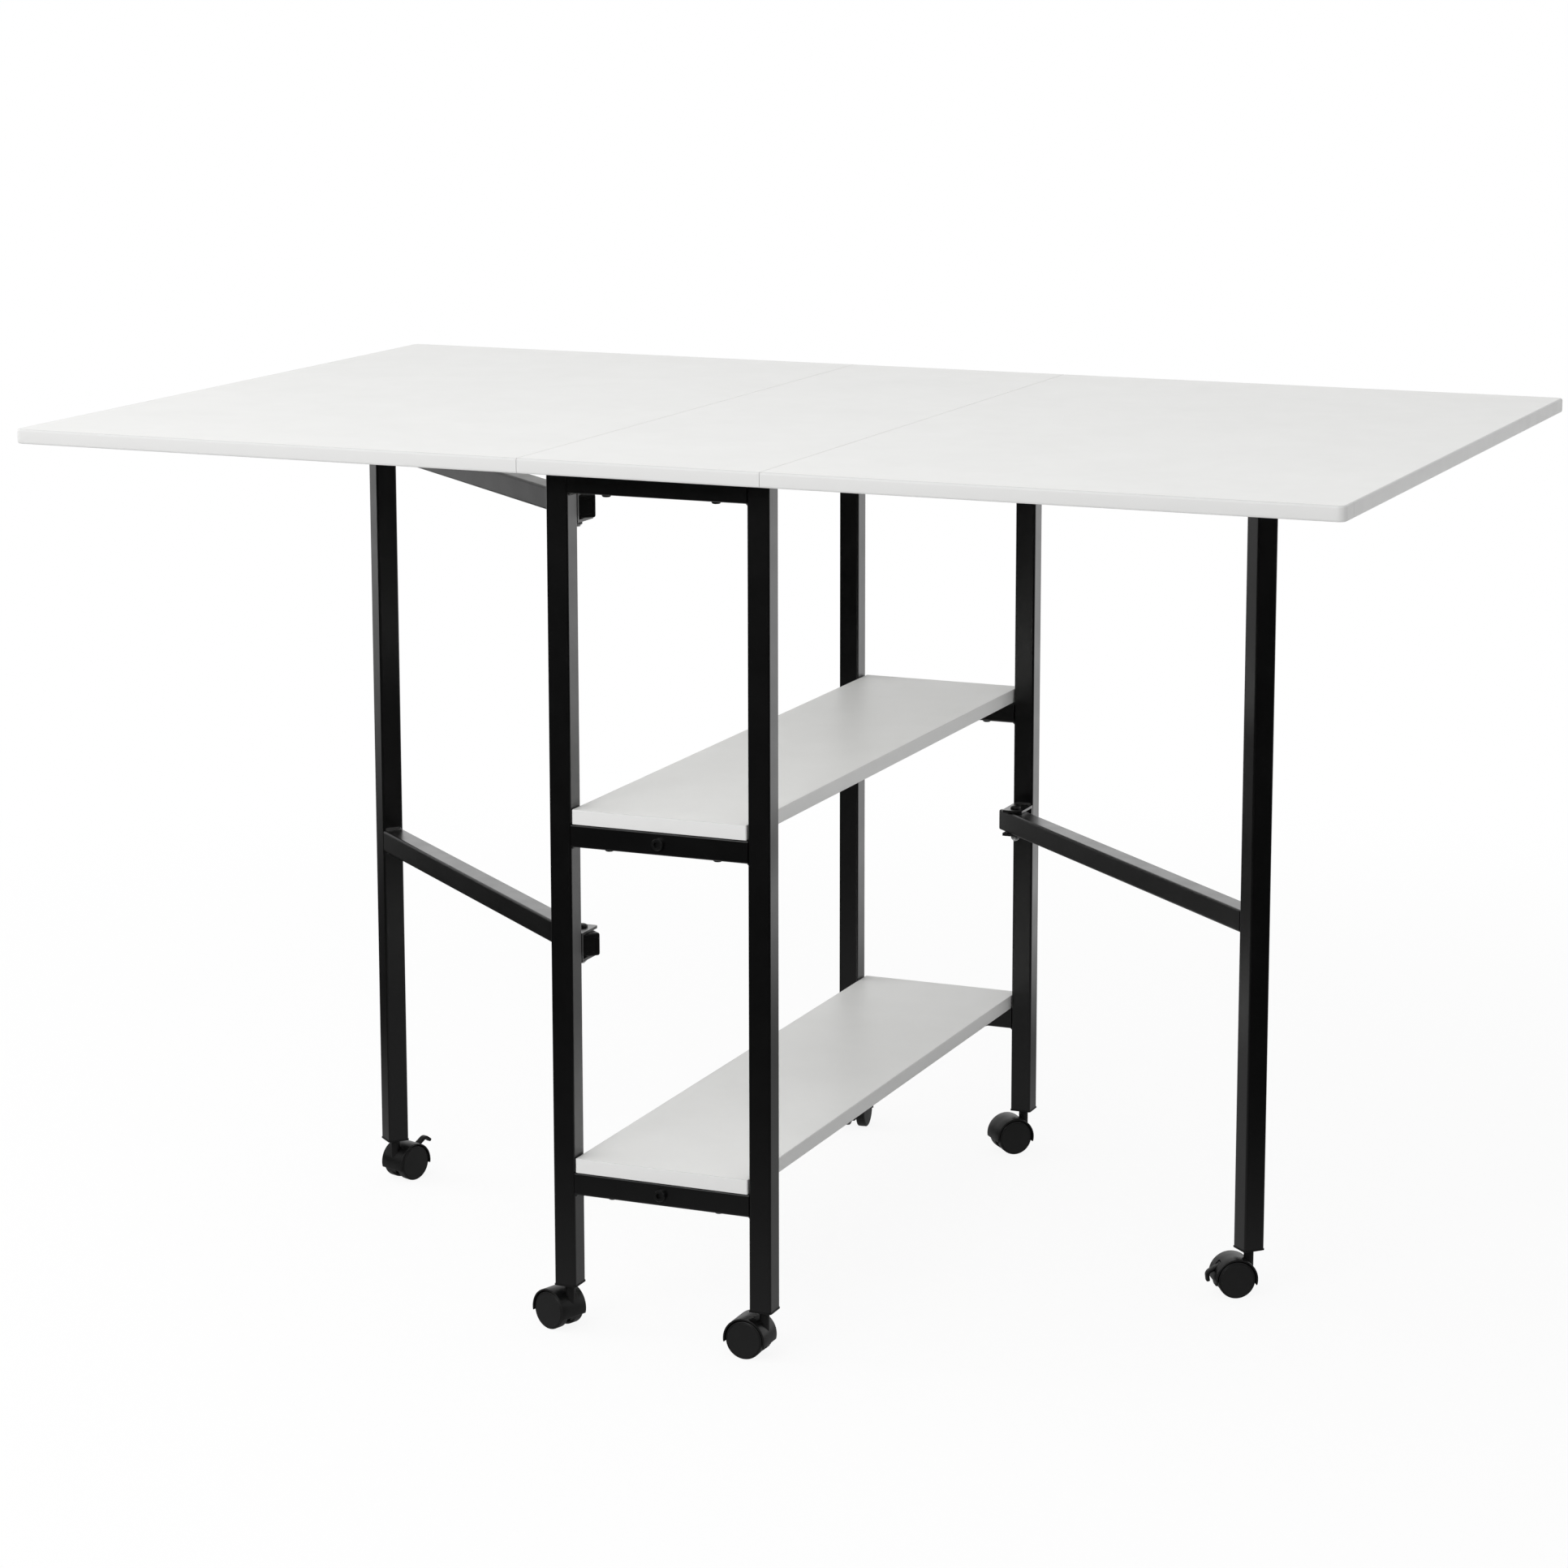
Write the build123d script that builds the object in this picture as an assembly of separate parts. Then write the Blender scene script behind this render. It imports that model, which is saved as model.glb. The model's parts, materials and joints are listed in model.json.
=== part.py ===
from build123d import *

import os
from math import asin, cos, hypot, radians, sin

# Drop-leaf sewing table on casters, in millimetres.
# Origin on the floor under the middle of the worktop, +X along the table's length,
# -Y towards the sewer's side, +Z up.

# ---- driving sizes -------------------------------------------------------------------

table_length = 1492.0
table_width = 927.0
table_height = 958.0
centre_panel_width = 273.0
board = 16.0                    # melamine board of the worktop and of the shelves
top_edge_round = 2.5            # softened outer edges of the worktop
top_corner_round = 9.0          # plan radius of the worktop's four outer corners
seam_gap = 0.5                  # open joint between the centre panel and a leaf
shelf_bevel = 0.8               # bevel of the shelves' edges

unit_width = 254.0              # over the legs
unit_depth = 832.0
tube_size = 25.0                # square steel tube
tube_wall = 1.5
tube_corner = 2.5
upper_shelf_top = 580.0
lower_shelf_top = 197.0
shelf_side_clearance = 1.5

gate_reach = 557.6              # pivot to the middle of the gate's leg
gate_rail_tail = 19.5           # rail end past the pivot, cap included
gate_top_rail_drop = 31.5       # leaf underside to the top of the gate's top rail
gate_middle_rail_height = 423.5     # middle rail's axis above the floor
left_gate_open = 50.0           # degrees from folded, where both gates stand
right_gate_open = 48.0
leaf_rest_clearance = 0.3       # leaf underside to the cap of the gate's leg

bracket_plate = 3.0             # clevis that holds the end of a gate rail
bracket_past_pivot = 13.2       # pivot to the free edge of the clevis
bracket_corner = 2.0
bracket_rail_clearance = 0.5
bracket_cap_clearance = 0.56    # back of the clevis to the corner of a rail's end cap
pivot_bolt_diameter = 6.0
pivot_running_clearance = 0.1
bolt_clearance = 0.1            # a bolt or stem in a hole that it doesn't turn in
bolt_head_diameter = 12.5
bolt_head_height = 4.0
bolt_head_rim = 1.2             # straight rim under the dome
bolt_tail = 1.5                 # bolt end past its nut
nut_across_flats = 10.0
nut_height = 5.0
nut_collar_diameter = 8.5
nut_collar_height = 1.2

cap_flange = 3.5                # bevelled end cap of a gate rail
cap_bevel = 1.8
cap_plug_depth = 9.0
leg_cap_flange = 2.5            # flat cap on top of a gate leg
leg_cap_bevel = 0.8
leg_cap_depth = 14.0
plug_clearance = 0.1            # plug to the inside of its tube

socket_flange = 1.5             # caster socket pressed into the foot of a leg
socket_lip = 0.6                # how far its flange stands out past the tube
socket_depth = 34.0

hinge_length = 60.0             # butt hinges under the seams
hinge_plate_width = 26.0
hinge_plate = 1.5
hinge_barrel_diameter = 5.2
hinge_barrel_clearance = 0.15   # barrel to the underside of the boards
hinge_pin_diameter = 2.6
hinge_outer_knuckle = 15.0      # each of the two end knuckles, on the centre panel's half
hinge_knuckle_gap = 0.3
hinge_spacing = 310.0           # one hinge in the middle, one each way from it

stretcher_bolt_diameter = 8.0
stretcher_head_diameter = 13.0
stretcher_head_height = 5.0
stretcher_head_bevel = 0.8
stretcher_key = 6.0             # across the flats of the key socket
stretcher_key_depth = 2.8
nut_plate = 5.0                 # threaded plate inside each end of a stretcher

hood_to_socket = 7.0            # top of a hood to the underside of a leg's socket
caster_offset = 17.0            # swivel axis to the wheel axle
wheel_diameter = 42.0
wheel_width = 11.0
wheel_inner_plane = 6.3         # caster's middle plane to the inner face of a wheel
wheel_edge_bevel = 1.4
wheel_disc_radius = 18.0        # raised disc on the outer face
wheel_disc_rise = 0.5
wheel_recess_depth = 6.5        # hollow behind the rim
wheel_rim_thickness = 2.5
wheel_hub_radius = 4.5
wheel_end_wall = 1.5            # outer face to the end of the axle's hole
axle_diameter = 4.0
axle_press_clearance = 0.02
axle_end_gap = 0.5              # axle's end to the end of its hole
hood_gap = 1.0                  # hood's inside to the tread
hood_wall = 2.0
hood_end_round = 0.9
hood_width = 35.0
hood_web = 10.0                 # web between the wheels
hood_web_drop = 9.5             # web's flat underside below the axle
hood_trailing_end = -10.0       # degrees about the axle, 0 is straight behind
hood_leading_end = 196.0
neck_diameter = 11.0
neck_drop = 2.0                 # underside of the neck below the axle
stem_diameter = 10.0
stem_length = 31.0              # grip length inside the socket
stem_bevel = 1.0
stem_pin_diameter = 6.5
stem_pin_length = 22.0
neck_clearance = 2.5            # socket's underside to the top of the neck
swivel_clearance = 0.3          # shoulder of the stem to the top of the neck
swivel_running_clearance = 0.1

brake_pivot_inset = 1.5         # brake lever's pin inside the hood's inner face
brake_pivot_angle = 44.0
brake_travel = 60.0
brake_width = 8.0
brake_slot_clearance = 0.4
brake_slot_half_angle = 80.0    # the window opens this far each way from straight back
brake_slot_reach = 11.0         # pin to the far edge of the window, past the hood's outside
brake_arm = 17.5                # pin to the bend of the lever
brake_arm_rise = 0.5
brake_arm_bend = 5.0
brake_arm_thickness = 4.2
brake_tip_reach = 4.0           # tip past the bend
brake_tip_drop = 9.8
brake_hub_radius = 3.0
brake_pin_diameter = 2.0
brake_raised_angle = 32.0       # arm above level when the brake is off

# directions in which the six casters trail, in degrees from +X
caster_headings = {
    "front_left": 161.0,
    "front_right": 180.0,
    "back_left": 97.0,
    "back_right": 223.0,
    "left_gate": 70.0,
    "right_gate": 212.0,
}

# ---- sizes that follow ---------------------------------------------------------------

top_underside = table_height - board
seam_x = centre_panel_width / 2 + seam_gap / 2
leaf_inner_x = centre_panel_width / 2 + seam_gap
leg_x = (unit_width - tube_size) / 2
leg_y = (unit_depth - tube_size) / 2
rail_span = unit_width - 2 * tube_size
stretcher_span = unit_depth - 2 * tube_size
wheel_radius = wheel_diameter / 2
hood_inner_radius = wheel_radius + hood_gap
hood_outer_radius = hood_inner_radius + hood_wall
caster_height = wheel_radius + hood_outer_radius + hood_to_socket
neck_top = caster_height - neck_clearance
brake_pivot_radius = hood_inner_radius - brake_pivot_inset
tube_bore = tube_size - 2 * tube_wall
plug_size = tube_bore - 2 * plug_clearance
shelf_width = rail_span - 2 * shelf_side_clearance
leg_foot = caster_height + socket_flange
shelf_undersides = {"upper": upper_shelf_top - board, "lower": lower_shelf_top - board}
cap_corner_reach = max(
    hypot(gate_rail_tail, tube_size / 2 - cap_bevel),
    hypot(gate_rail_tail - cap_bevel, tube_size / 2),
)
gate_pivot_offset = cap_corner_reach + bracket_cap_clearance + bracket_plate
bracket_depth = gate_pivot_offset + bracket_past_pivot
pivot_x = leg_x
pivot_y = leg_y - tube_size / 2 - gate_pivot_offset
gate_leg_top = top_underside - leaf_rest_clearance - leg_cap_flange
gate_rail_heights = {
    "top": top_underside - gate_top_rail_drop - tube_size / 2,
    "middle": gate_middle_rail_height,
}
hinge_axis_z = top_underside - hinge_barrel_clearance - hinge_barrel_diameter / 2

unit_corners = {
    "front_left": (-leg_x, -leg_y),
    "front_right": (leg_x, -leg_y),
    "back_left": (-leg_x, leg_y),
    "back_right": (leg_x, leg_y),
}
# each gate's own frame has its pivot on Z and its rails along +X
gate_frames = {
    "left": Pos(-pivot_x, -pivot_y, 0) * Rot(0, 0, 90 + left_gate_open),
    "right": Pos(pivot_x, pivot_y, 0) * Rot(0, 0, -90 + right_gate_open),
}


# ---- shared shapes -------------------------------------------------------------------

def tube(length):
    """Square tube standing on XY."""
    outside = RectangleRounded(tube_size, tube_size, tube_corner)
    return extrude(outside - Rectangle(tube_bore, tube_bore), length)


def tube_along_x(start, length):
    return Pos(start, 0, 0) * Rot(0, 90, 0) * tube(length)


def tube_along_y(start, length):
    return Pos(0, start, 0) * Rot(-90, 0, 0) * tube(length)


def disc(diameter, height):
    """Cylinder standing on XY."""
    return extrude(Circle(diameter / 2), height)


def crown_arc(radius, base, rise):
    """Arc from (radius, base) up to the axis, level where it meets the axis."""
    bend = (radius**2 + rise**2) / (2 * rise)
    half_angle = asin(radius / bend) / 2
    halfway = (bend * sin(half_angle), base + rise - bend * (1 - cos(half_angle)))
    return ThreePointArc((radius, base), halfway, (0, base + rise))


def domed_head(diameter, height, rim):
    """Low domed head standing on XY, flat side down, with a straight rim under its dome."""
    radius = diameter / 2
    with BuildPart() as head:
        with BuildSketch(Plane.XZ):
            with BuildLine():
                Polyline((0, height), (0, 0), (radius, 0), (radius, rim))
                crown_arc(radius, rim, height - rim)
            make_face()
        revolve(axis=Axis.Z)
    return head.part


def flat_rims(panel):
    """Edges round the top and the bottom of a board that lies flat."""
    return panel.edges().group_by(Axis.Z)[0] + panel.edges().group_by(Axis.Z)[-1]


def square_plug(depth, flange, overhang=0.0):
    """Plastic plug for a tube end: flange on XY going down, plug going up."""
    wide = tube_size + 2 * overhang
    lid = extrude(RectangleRounded(wide, wide, tube_corner), -flange)
    return lid + extrude(Rectangle(plug_size, plug_size), depth)


def save(name, *pieces):
    solids = [solid for piece in pieces for solid in piece.solids()]
    export_step(Compound(solids), f"parts/{name}.step")


# ---- shelf unit ----------------------------------------------------------------------

def unit_legs():
    leg = tube(top_underside - leg_foot)
    return {name: Pos(x, y, leg_foot) * leg for name, (x, y) in unit_corners.items()}


def plain_rail():
    """Rail between two legs."""
    return tube_along_x(-rail_span / 2, rail_span)


def shelf_rail():
    """Rail with a cross hole in its middle for the stretcher's bolt."""
    bolt_hole = disc(stretcher_bolt_diameter + 2 * bolt_clearance, 2 * tube_size)
    return plain_rail() - Pos(0, tube_size, 0) * Rot(90, 0, 0) * bolt_hole


def stretcher():
    return tube_along_y(-stretcher_span / 2, stretcher_span)


def stretcher_nut_plates(height):
    """Threaded plates welded just inside both ends of a stretcher."""
    plate = extrude(Rectangle(plug_size, plug_size), nut_plate)
    plate -= disc(stretcher_bolt_diameter + 2 * bolt_clearance, nut_plate)
    front = Pos(0, -stretcher_span / 2, height) * Rot(-90, 0, 0) * plate
    back = Pos(0, stretcher_span / 2, height) * Rot(90, 0, 0) * plate
    return [front, back]


def stretcher_bolt():
    """Cap bolt standing on XY: shank down through the rail, key socket in the head."""
    head = disc(stretcher_head_diameter, stretcher_head_height)
    head = chamfer(head.edges().sort_by(Axis.Z)[-1], stretcher_head_bevel)
    key = RegularPolygon(stretcher_key / 2, 6, major_radius=False)
    head -= Pos(0, 0, stretcher_head_height - stretcher_key_depth) * extrude(key, stretcher_key_depth)
    grip = tube_size + nut_plate + bolt_tail
    return head + Pos(0, 0, -grip) * disc(stretcher_bolt_diameter, grip)


def shelf(underside):
    panel = extrude(Rectangle(shelf_width, unit_depth), board)
    return Pos(0, 0, underside) * chamfer(flat_rims(panel), shelf_bevel)


# ---- worktop -------------------------------------------------------------------------

def centre_panel():
    """Fixed board between the leaves, its ends softened and its seam edges square."""
    panel = extrude(Rectangle(centre_panel_width, table_width), board)
    end_edges = flat_rims(panel).filter_by(Axis.X)
    return Pos(0, 0, top_underside) * fillet(end_edges, top_edge_round)


def leaf(side):
    """Drop leaf; side is -1 for the left one and +1 for the right one."""
    length = table_length / 2 - leaf_inner_x
    panel = extrude(Rectangle(length, table_width), board)
    outer_corners = panel.edges().filter_by(Axis.Z).group_by(Axis.X)[-1]
    panel = fillet(outer_corners, top_corner_round)
    seam_face = panel.faces().sort_by(Axis.X)[0]
    seam_edges = seam_face.edges().filter_by(Axis.Y)
    softened = [edge for edge in flat_rims(panel) if edge not in seam_edges]
    panel = fillet(softened, top_edge_round)
    panel = Pos(leaf_inner_x + length / 2, 0, 0) * panel
    if side < 0:
        panel = Rot(0, 0, 180) * panel
    return Pos(0, 0, top_underside) * panel


def along_y(start, length, radius):
    """Round bar on the Y axis."""
    return Pos(0, start, 0) * Rot(-90, 0, 0) * disc(2 * radius, length)


def hinge_half(knuckles):
    """Half of a butt hinge: a plate that goes +X from its knuckles on the Y axis.

    Knuckles are given as (start, length) along Y. Between them the plate stands back,
    which leaves room for the knuckles of the other half.
    """
    barrel = hinge_barrel_diameter / 2
    edge = barrel + hinge_knuckle_gap
    plate_z = top_underside - hinge_axis_z
    corner = (Align.MIN, Align.MIN, Align.MAX)
    half = Pos(edge, -hinge_length / 2, plate_z) * Box(
        hinge_plate_width - edge, hinge_length, hinge_plate, align=corner
    )
    for start, length in knuckles:
        half += Pos(0, start, plate_z) * Box(edge, length, hinge_plate, align=corner)
        half += along_y(start, length, barrel)
    bore = hinge_pin_diameter / 2 + pivot_running_clearance
    return half - along_y(-hinge_length / 2, hinge_length, bore)


def end_knuckles():
    """The centre panel's half of a hinge carries a knuckle at each end."""
    return [(-hinge_length / 2, hinge_outer_knuckle),
            (hinge_length / 2 - hinge_outer_knuckle, hinge_outer_knuckle)]


def middle_knuckle():
    """The leaf's half carries the long knuckle between them."""
    start = hinge_outer_knuckle + hinge_knuckle_gap - hinge_length / 2
    return [(start, -2 * start)]


def hinge_frames(side):
    """Where each hinge's barrel lies along one seam."""
    return [Pos(seam_x * side, y, hinge_axis_z) for y in (-hinge_spacing, 0.0, hinge_spacing)]


def hinge_pins():
    pin = along_y(-hinge_length / 2, hinge_length, hinge_pin_diameter / 2)
    return [frame * pin for side in (-1, 1) for frame in hinge_frames(side)]


# ---- gates ---------------------------------------------------------------------------

def bracket(height):
    """Clevis on the +Y side of its leg's face, around a rail end at a height."""
    opening = tube_size + 2 * bracket_rail_clearance
    tall = opening + 2 * bracket_plate
    block = Box(tube_size, bracket_depth, tall, align=(Align.CENTER, Align.MIN, Align.CENTER))
    slot = Box(tube_size, bracket_depth, opening, align=(Align.CENTER, Align.MIN, Align.CENTER))
    clevis = block - Pos(0, bracket_plate, 0) * slot
    free_corners = clevis.edges().filter_by(Axis.Z).group_by(Axis.Y)[-1]
    clevis = fillet(free_corners, bracket_corner)
    hole = Pos(0, gate_pivot_offset, -tall) * disc(pivot_bolt_diameter + 2 * bolt_clearance, 2 * tall)
    return Pos(-leg_x, -leg_y + tube_size / 2, height) * (clevis - hole)


def bracket_half_height():
    return tube_size / 2 + bracket_rail_clearance + bracket_plate


def pivot_bolt(height):
    """Domed bolt down through a clevis and the rail end in it."""
    grip = 2 * bracket_half_height() + nut_height + nut_collar_height + bolt_tail
    head = domed_head(bolt_head_diameter, bolt_head_height, bolt_head_rim)
    bolt = head + Pos(0, 0, -grip) * disc(pivot_bolt_diameter, grip)
    return Pos(-pivot_x, -pivot_y, height + bracket_half_height()) * bolt


def pivot_nut(height):
    """Lock nut: a hexagon with a round collar under it."""
    hexagon = extrude(RegularPolygon(nut_across_flats / 2, 6, major_radius=False), -nut_height)
    deep = nut_height + nut_collar_height
    collar = Pos(0, 0, -deep) * disc(nut_collar_diameter, nut_collar_height)
    bore = Pos(0, 0, -deep) * disc(pivot_bolt_diameter + 2 * bolt_clearance, deep)
    return Pos(-pivot_x, -pivot_y, height - bracket_half_height()) * (hexagon + collar - bore)


def both_gates(piece):
    """A left gate's piece and its half-turn twin for the right gate."""
    return [piece, Rot(0, 0, 180) * piece]


def gate_rail(height):
    """Rail in the gate's own frame, from its capped end to the gate's leg."""
    start = cap_flange - gate_rail_tail
    length = gate_reach - tube_size / 2 - start
    hole = Pos(0, 0, -tube_size) * disc(pivot_bolt_diameter + 2 * pivot_running_clearance, 2 * tube_size)
    return Pos(0, 0, height) * (tube_along_x(start, length) - hole)


def gate_rail_cap(height):
    cap = square_plug(cap_plug_depth, cap_flange)
    cap = chamfer(cap.edges().group_by(Axis.Z)[0], cap_bevel)
    return Pos(cap_flange - gate_rail_tail, 0, height) * Rot(0, 90, 0) * cap


def gate_leg():
    return Pos(gate_reach, 0, leg_foot) * tube(gate_leg_top - leg_foot)


def gate_leg_cap():
    cap = Rot(180, 0, 0) * square_plug(leg_cap_depth, leg_cap_flange)
    return Pos(gate_reach, 0, gate_leg_top) * chamfer(cap.edges().group_by(Axis.Z)[-1], leg_cap_bevel)


# ---- casters -------------------------------------------------------------------------

def caster_socket():
    """Socket in the foot of a leg, its flange's underside at the caster's height."""
    plug = square_plug(socket_depth, socket_flange, socket_lip)
    bore = Pos(0, 0, -socket_flange) * disc(stem_diameter + 2 * bolt_clearance, socket_depth)
    return Pos(0, 0, leg_foot) * (plug - bore)


def caster_stem():
    """Steel stem: grip shank in the socket, and the pin that the caster turns on."""
    shoulder = neck_top + swivel_clearance
    shank = Pos(0, 0, shoulder) * disc(stem_diameter, caster_height + stem_length - shoulder)
    shank = chamfer(shank.edges().sort_by(Axis.Z)[-1], stem_bevel)
    return shank + Pos(0, 0, shoulder - stem_pin_length) * disc(stem_pin_diameter, stem_pin_length)


def sector(inner, outer, start, end):
    """Part of a ring about the origin, between two angles in degrees."""
    def at(radius, angle):
        return (radius * cos(radians(angle)), radius * sin(radians(angle)))

    middle = (start + end) / 2
    with BuildSketch() as sketch:
        with BuildLine():
            over = ThreePointArc(at(outer, start), at(outer, middle), at(outer, end))
            if inner > 0:
                down = Line(over @ 1, at(inner, end))
                back = ThreePointArc(down @ 1, at(inner, middle), at(inner, start))
                Line(back @ 1, over @ 0)
            else:
                Polyline(over @ 1, (0, 0), over @ 0)
        make_face()
    return sketch.sketch


def across(sketch, width):
    """Sketch drawn in the caster's side view, spread evenly about its middle plane."""
    slab = extrude(sketch, width / 2, both=True)
    return Pos(caster_offset, 0, wheel_radius) * Rot(90, 0, 0) * slab


def caster_hood(braked):
    """Hood over both wheels, the web between them and the neck round the stem's pin."""
    arch = sector(hood_inner_radius, hood_outer_radius, hood_trailing_end, hood_leading_end)
    shell = across(arch, hood_width)
    shell = fillet(shell.edges().filter_by(Axis.Y), hood_end_round)

    below = Pos(0, -hood_web_drop) * Rectangle(
        2 * hood_outer_radius, wheel_radius, align=(Align.CENTER, Align.MAX)
    )
    web = across(Circle(hood_inner_radius + hood_wall / 2) - below, hood_web)
    neck_foot = wheel_radius - neck_drop
    neck = Pos(0, 0, neck_foot) * disc(neck_diameter, neck_top - neck_foot)
    hood = shell + web + neck

    swivel_hole = disc(stem_pin_diameter + 2 * swivel_running_clearance, stem_pin_length)
    hood -= Pos(0, 0, neck_top - stem_pin_length) * swivel_hole
    hood -= across(Circle(axle_diameter / 2 + swivel_running_clearance), hood_web)
    if braked:
        hood -= brake_slot()
    return hood


def brake_pivot():
    """The brake pin in the caster's side view, from the axle."""
    angle = radians(brake_pivot_angle)
    return brake_pivot_radius * cos(angle), brake_pivot_radius * sin(angle)


def brake_slot():
    """Window in the hood that the lever swings in, with the hole for its pin."""
    x, z = brake_pivot()
    hub = Circle(brake_hub_radius + brake_slot_clearance)
    swing = sector(0, brake_slot_reach, -brake_slot_half_angle, brake_slot_half_angle)
    window = across(Pos(x, z) * (hub + swing), brake_width + 2 * brake_slot_clearance)
    return window + across(Pos(x, z) * Circle(brake_pin_diameter / 2), hood_web)


def brake_lever(angle):
    """Hooked foot lever on its pin, with its arm at an angle above level in the side view."""
    x, z = brake_pivot()
    knee = (brake_arm, brake_arm_rise)
    tip = (brake_arm + brake_tip_reach, brake_arm_rise - brake_tip_drop)
    arm = trace(FilletPolyline((0, 0), knee, tip, radius=brake_arm_bend), brake_arm_thickness)
    profile = arm + Circle(brake_hub_radius) - Circle(brake_pin_diameter / 2 + pivot_running_clearance)
    return across(Pos(x, z) * Rot(0, 0, angle) * profile, brake_width)


def brake_pin():
    x, z = brake_pivot()
    return across(Pos(x, z) * Circle(brake_pin_diameter / 2), hood_web)


def wheel(side):
    """Wheel with a raised disc on its outer face, and a hub inside its hollow rim."""
    inner, outer = wheel_inner_plane, wheel_inner_plane + wheel_width
    bore = axle_diameter / 2 + axle_press_clearance
    floor = inner + wheel_recess_depth
    rim = wheel_radius - wheel_rim_thickness
    face = outer - wheel_disc_rise
    with BuildPart() as one:
        with BuildSketch(Plane.XY):
            Polygon(
                (bore, inner), (wheel_hub_radius, inner), (wheel_hub_radius, floor),
                (rim, floor), (rim, inner), (wheel_radius, inner),
                (wheel_radius, face - wheel_edge_bevel), (wheel_radius - wheel_edge_bevel, face),
                (wheel_disc_radius, face), (wheel_disc_radius, outer), (0, outer),
                (0, outer - wheel_end_wall), (bore, outer - wheel_end_wall),
                align=None,
            )
        revolve(axis=Axis.Y)
    turned = one.part if side > 0 else Rot(180, 0, 0) * one.part
    return Pos(caster_offset, 0, wheel_radius) * turned


def axle():
    half = wheel_inner_plane + wheel_width - wheel_end_wall - axle_end_gap
    return across(Circle(axle_diameter / 2), 2 * half)


def caster_frames():
    """Each caster's stem axis, turned so that +X points the way it trails."""
    frames = {}
    for name, (x, y) in unit_corners.items():
        frames[name] = Pos(x, y, 0) * Rot(0, 0, caster_headings[name])
    for side, frame in gate_frames.items():
        stem = (frame * Pos(gate_reach, 0, 0)).position
        name = f"{side}_gate"
        frames[name] = Pos(stem.X, stem.Y, 0) * Rot(0, 0, caster_headings[name])
    return frames


# ---- assembly ------------------------------------------------------------------------

def save_shelf_unit():
    for name, leg in unit_legs().items():
        save(f"{name}_leg", leg)
    for end, y in (("front", -leg_y), ("back", leg_y)):
        save(f"{end}_top_rail", Pos(0, y, top_underside - tube_size / 2) * plain_rail())
        for level, underside in shelf_undersides.items():
            save(f"{end}_{level}_shelf_rail", Pos(0, y, underside - tube_size / 2) * shelf_rail())
    plates, bolts = [], []
    for level, underside in shelf_undersides.items():
        height = underside - tube_size / 2
        save(f"{level}_shelf", shelf(underside))
        save(f"{level}_stretcher", Pos(0, 0, height) * stretcher())
        plates += stretcher_nut_plates(height)
        bolts.append(Pos(0, -unit_depth / 2, height) * Rot(90, 0, 0) * stretcher_bolt())
        bolts.append(Pos(0, unit_depth / 2, height) * Rot(-90, 0, 0) * stretcher_bolt())
    save("stretcher_nut_plates", *plates)
    save("stretcher_bolts", *bolts)
    save("unit_caster_sockets", *[Pos(x, y, 0) * caster_socket() for x, y in unit_corners.values()])
    save("unit_caster_stems", *[Pos(x, y, 0) * caster_stem() for x, y in unit_corners.values()])


def save_worktop():
    save("centre_panel", centre_panel())
    fixed_halves = []
    for name, side in (("left", -1), ("right", 1)):
        outward, inward = (Rot(0, 0, 0), Rot(0, 0, 180)) if side > 0 else (Rot(0, 0, 180), Rot(0, 0, 0))
        fixed = inward * hinge_half(end_knuckles())
        moving = outward * hinge_half(middle_knuckle())
        fixed_halves += [frame * fixed for frame in hinge_frames(side)]
        save(f"{name}_leaf", leaf(side))
        save(f"{name}_leaf_hinge_halves", *[frame * moving for frame in hinge_frames(side)])
    save("centre_hinge_halves", *fixed_halves)
    save("hinge_pins", *hinge_pins())


def save_gates():
    brackets, bolts, nuts = [], [], []
    for height in gate_rail_heights.values():
        brackets += both_gates(bracket(height))
        bolts += both_gates(pivot_bolt(height))
        nuts += both_gates(pivot_nut(height))
    save("gate_brackets", *brackets)
    save("gate_pivot_bolts", *bolts)
    save("gate_pivot_nuts", *nuts)
    for side, frame in gate_frames.items():
        save(f"{side}_gate_leg", frame * gate_leg())
        save(f"{side}_gate_leg_cap", frame * gate_leg_cap())
        for level, height in gate_rail_heights.items():
            save(f"{side}_gate_{level}_rail", frame * gate_rail(height))
        save(f"{side}_gate_rail_caps", *[frame * gate_rail_cap(h) for h in gate_rail_heights.values()])
        foot = frame * Pos(gate_reach, 0, 0)
        save(f"{side}_gate_caster_socket", foot * caster_socket())
        save(f"{side}_gate_caster_stem", foot * caster_stem())


def save_casters():
    for name, frame in caster_frames().items():
        braked = name.endswith("gate")
        hood = caster_hood(braked)
        if braked:
            raised = name == "left_gate"
            angle = brake_raised_angle if raised else brake_raised_angle - brake_travel
            save(f"{name}_brake_lever", frame * brake_lever(angle))
            save(f"{name}_caster_hood", frame * hood, frame * brake_pin())
        else:
            save(f"{name}_caster_hood", frame * hood)
        save(f"{name}_caster_wheels", *[frame * piece for piece in (wheel(-1), wheel(1), axle())])


os.makedirs("parts", exist_ok=True)
save_shelf_unit()
save_worktop()
save_gates()
save_casters()
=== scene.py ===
import json
from math import radians

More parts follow.
